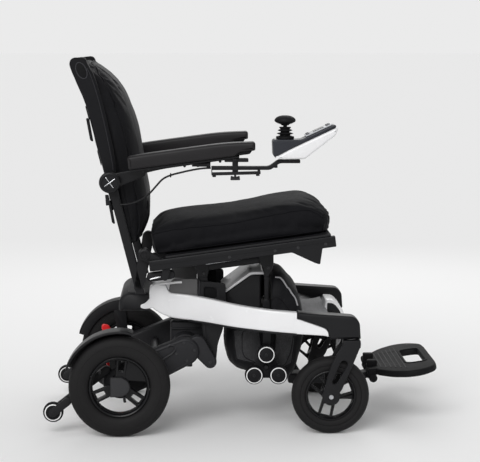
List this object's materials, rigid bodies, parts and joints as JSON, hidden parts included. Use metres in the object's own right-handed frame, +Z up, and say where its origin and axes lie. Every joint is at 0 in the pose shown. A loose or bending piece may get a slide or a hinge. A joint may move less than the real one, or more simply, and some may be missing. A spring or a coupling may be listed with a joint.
{
  "type": "folding power wheelchair",
  "caption": "Folding power wheelchair with cushioned seat and back, flip-up armrests, joystick, drive wheels, casters and footplate.",
  "frame": {"origin": "on the floor under the middle of the chair's bounding box", "axes": "+X forward, +Y to the seated person's left, +Z up"},
  "size_m": [1.0259, 0.582, 0.953],
  "materials": {
    "arm_pad": "soft foam skin",
    "bag_fabric": "woven black with mesh",
    "black_plastic": "fine grain",
    "cable_rubber": "matt",
    "dark_metal": "satin black",
    "fabric": "woven black",
    "grey_plastic": "fine grain",
    "red_plastic": "satin",
    "tyre": "matt",
    "white_rail": "satin white"
  },
  "bodies": {
    "frame": {"side_rail_right": "white_rail", "side_rail_left": "white_rail", "rail_cap_right": "black_plastic", "rail_cap_left": "black_plastic", "front_cross_tube": "dark_metal", "mid_cross_frame": "dark_metal", "battery_case": "black_plastic", "battery_lid": "white_rail", "storage_bag": "bag_fabric", "control_box": "black_plastic", "seat_rail_right": "dark_metal", "seat_rail_left": "dark_metal", "seat_base": "black_plastic", "seat_cushion": "fabric", "seat_support": "dark_metal", "footrest_hanger": "white_rail", "footrest_beam": "black_plastic"},
    "drive_frame": {"drive_unit_right": "dark_metal", "drive_unit_left": "dark_metal", "drive_cross_tube": "dark_metal", "rear_fender_right": "grey_plastic", "rear_fender_left": "grey_plastic", "anti_tip_arm_right": "black_plastic", "anti_tip_arm_left": "black_plastic"},
    "backrest": {"back_frame": "dark_metal", "back_cushion": "fabric"},
    "footplate": {"footplate": "black_plastic"},
    "controller": {"controller_bar": "black_plastic", "controller_shell": "white_rail", "controller_panel": "black_plastic"},
    "joystick_boot": {"joystick_boot": "cable_rubber"},
    "joystick": {"joystick_knob": "black_plastic"},
    "wing_bolt": {"clamp_wing_bolt": "black_plastic"},
    "rear_wheel_right": {"rear_tyre_right": "tyre", "rear_rim_right": "dark_metal"},
    "anti_tip_wheel_right": {"anti_tip_wheel_right": "black_plastic"},
    "freewheel_lever_right": {"freewheel_lever_right": "red_plastic"},
    "caster_right": {"caster_fork_right": "dark_metal"},
    "caster_wheel_right": {"caster_tyre_right": "tyre", "caster_rim_right": "dark_metal"},
    "transport_rollers_right": {"transport_rollers_right": "black_plastic"},
    "latch_lever_right": {"latch_lever_right": "black_plastic"},
    "armrest_knob_right": {"armrest_knob_right": "black_plastic"},
    "armrest_right": {"armrest_arm_right": "black_plastic", "armrest_pad_right": "arm_pad", "controller_clamp": "black_plastic", "controller_cable": "cable_rubber"},
    "rear_wheel_left": {"rear_tyre_left": "tyre", "rear_rim_left": "dark_metal"},
    "anti_tip_wheel_left": {"anti_tip_wheel_left": "black_plastic"},
    "freewheel_lever_left": {"freewheel_lever_left": "red_plastic"},
    "caster_left": {"caster_fork_left": "dark_metal"},
    "caster_wheel_left": {"caster_tyre_left": "tyre", "caster_rim_left": "dark_metal"},
    "transport_rollers_left": {"transport_rollers_left": "black_plastic"},
    "latch_lever_left": {"latch_lever_left": "black_plastic"},
    "armrest_knob_left": {"armrest_knob_left": "black_plastic"},
    "armrest_left": {"armrest_arm_left": "black_plastic", "armrest_pad_left": "arm_pad"}
  },
  "joints": [
    {"name": "drive_frame_fold", "type": "hinge", "parent": "frame", "child": "drive_frame", "pos_m": [-0.086, 0, 0.176], "axis": [0, -1, 0], "range_deg": [0, 55]},
    {"name": "back_fold", "type": "hinge", "parent": "frame", "child": "backrest", "pos_m": [-0.253, 0, 0.456], "axis": [0, 1, 0], "range_deg": [0, 65], "deforming": ["seat_cushion", "back_cushion"]},
    {"name": "footplate_flip", "type": "hinge", "parent": "frame", "child": "footplate", "pos_m": [0.348, 0, 0.105], "axis": [0, -1, 0], "range_deg": [0, 88]},
    {"name": "rear_wheel_right_spin", "type": "hinge", "parent": "drive_frame", "child": "rear_wheel_right", "pos_m": [-0.317, -0.264, 0.129], "axis": [0, 1, 0], "continuous": true},
    {"name": "anti_tip_wheel_right_spin", "type": "hinge", "parent": "drive_frame", "child": "anti_tip_wheel_right", "pos_m": [-0.487, -0.24, 0.058], "axis": [0, 1, 0], "continuous": true},
    {"name": "freewheel_lever_right_swing", "type": "hinge", "parent": "drive_frame", "child": "freewheel_lever_right", "pos_m": [-0.338, -0.1587, 0.15], "axis": [0, -1, 0], "range_deg": [0, 40]},
    {"name": "caster_right_swivel", "type": "hinge", "parent": "frame", "child": "caster_right", "pos_m": [0.272, -0.246, 0.2447], "axis": [0, 0, 1], "continuous": true},
    {"name": "caster_wheel_right_spin", "type": "hinge", "parent": "caster_right", "child": "caster_wheel_right", "pos_m": [0.22, -0.246, 0.0995], "axis": [0, 1, 0], "continuous": true},
    {"name": "transport_rollers_right_turn", "type": "hinge", "parent": "frame", "child": "transport_rollers_right", "pos_m": [0.058, -0.2, 0.162], "axis": [0, 1, 0], "continuous": true},
    {"name": "latch_lever_right_lift", "type": "hinge", "parent": "frame", "child": "latch_lever_right", "pos_m": [-0.201, -0.197, 0.399], "axis": [0, 1, 0], "range_deg": [0, 20], "stiffness_Nm_per_rad": 0.6, "springref_deg": -20.05},
    {"name": "armrest_right_level", "type": "hinge", "parent": "backrest", "child": "armrest_knob_right", "pos_m": [-0.339, -0.22, 0.643], "axis": [0, 1, 0], "range_deg": [-65, 0]},
    {"name": "armrest_right_flip", "type": "hinge", "parent": "armrest_knob_right", "child": "armrest_right", "pos_m": [-0.339, -0.22, 0.643], "axis": [0, -1, 0], "range_deg": [0, 90], "deforming": ["controller_cable"]},
    {"name": "rear_wheel_left_spin", "type": "hinge", "parent": "drive_frame", "child": "rear_wheel_left", "pos_m": [-0.317, 0.264, 0.129], "axis": [0, 1, 0], "continuous": true},
    {"name": "anti_tip_wheel_left_spin", "type": "hinge", "parent": "drive_frame", "child": "anti_tip_wheel_left", "pos_m": [-0.487, 0.24, 0.058], "axis": [0, 1, 0], "continuous": true},
    {"name": "freewheel_lever_left_swing", "type": "hinge", "parent": "drive_frame", "child": "freewheel_lever_left", "pos_m": [-0.338, 0.1587, 0.15], "axis": [0, -1, 0], "range_deg": [0, 40]},
    {"name": "caster_left_swivel", "type": "hinge", "parent": "frame", "child": "caster_left", "pos_m": [0.272, 0.246, 0.2447], "axis": [0, 0, 1], "continuous": true},
    {"name": "caster_wheel_left_spin", "type": "hinge", "parent": "caster_left", "child": "caster_wheel_left", "pos_m": [0.22, 0.246, 0.0995], "axis": [0, 1, 0], "continuous": true},
    {"name": "transport_rollers_left_turn", "type": "hinge", "parent": "frame", "child": "transport_rollers_left", "pos_m": [0.058, 0.2, 0.162], "axis": [0, 1, 0], "continuous": true},
    {"name": "latch_lever_left_lift", "type": "hinge", "parent": "frame", "child": "latch_lever_left", "pos_m": [-0.201, 0.197, 0.399], "axis": [0, 1, 0], "range_deg": [0, 20], "stiffness_Nm_per_rad": 0.6, "springref_deg": -20.05},
    {"name": "armrest_left_level", "type": "hinge", "parent": "backrest", "child": "armrest_knob_left", "pos_m": [-0.339, 0.22, 0.643], "axis": [0, 1, 0], "range_deg": [-65, 0]},
    {"name": "armrest_left_flip", "type": "hinge", "parent": "armrest_knob_left", "child": "armrest_left", "pos_m": [-0.339, 0.22, 0.643], "axis": [0, -1, 0], "range_deg": [0, 90]},
    {"name": "controller_slide", "type": "slide", "parent": "armrest_right", "child": "controller", "axis": [1, 0, 0], "range_m": [0, 0.05]},
    {"name": "joystick_pitch", "type": "hinge", "parent": "controller", "child": "joystick_boot", "pos_m": [0.102, -0.25, 0.76], "axis": [0, 1, 0], "range_deg": [-12, 12], "stiffness_Nm_per_rad": 0.3, "deforming": ["joystick_boot"]},
    {"name": "joystick_roll", "type": "hinge", "parent": "joystick_boot", "child": "joystick", "pos_m": [0.102, -0.25, 0.76], "axis": [1, 0, 0], "range_deg": [-12, 12], "stiffness_Nm_per_rad": 0.3, "deforming": ["joystick_boot"]},
    {"name": "wing_bolt_turn", "type": "hinge", "parent": "armrest_right", "child": "wing_bolt", "pos_m": [-0.023, -0.25, 0.66], "axis": [0, 0, 1], "continuous": true}
  ],
  "couplings": [
    {"joint": "armrest_right_level", "follows": "back_fold", "ratio": -1},
    {"joint": "armrest_left_level", "follows": "back_fold", "ratio": -1}
  ]
}
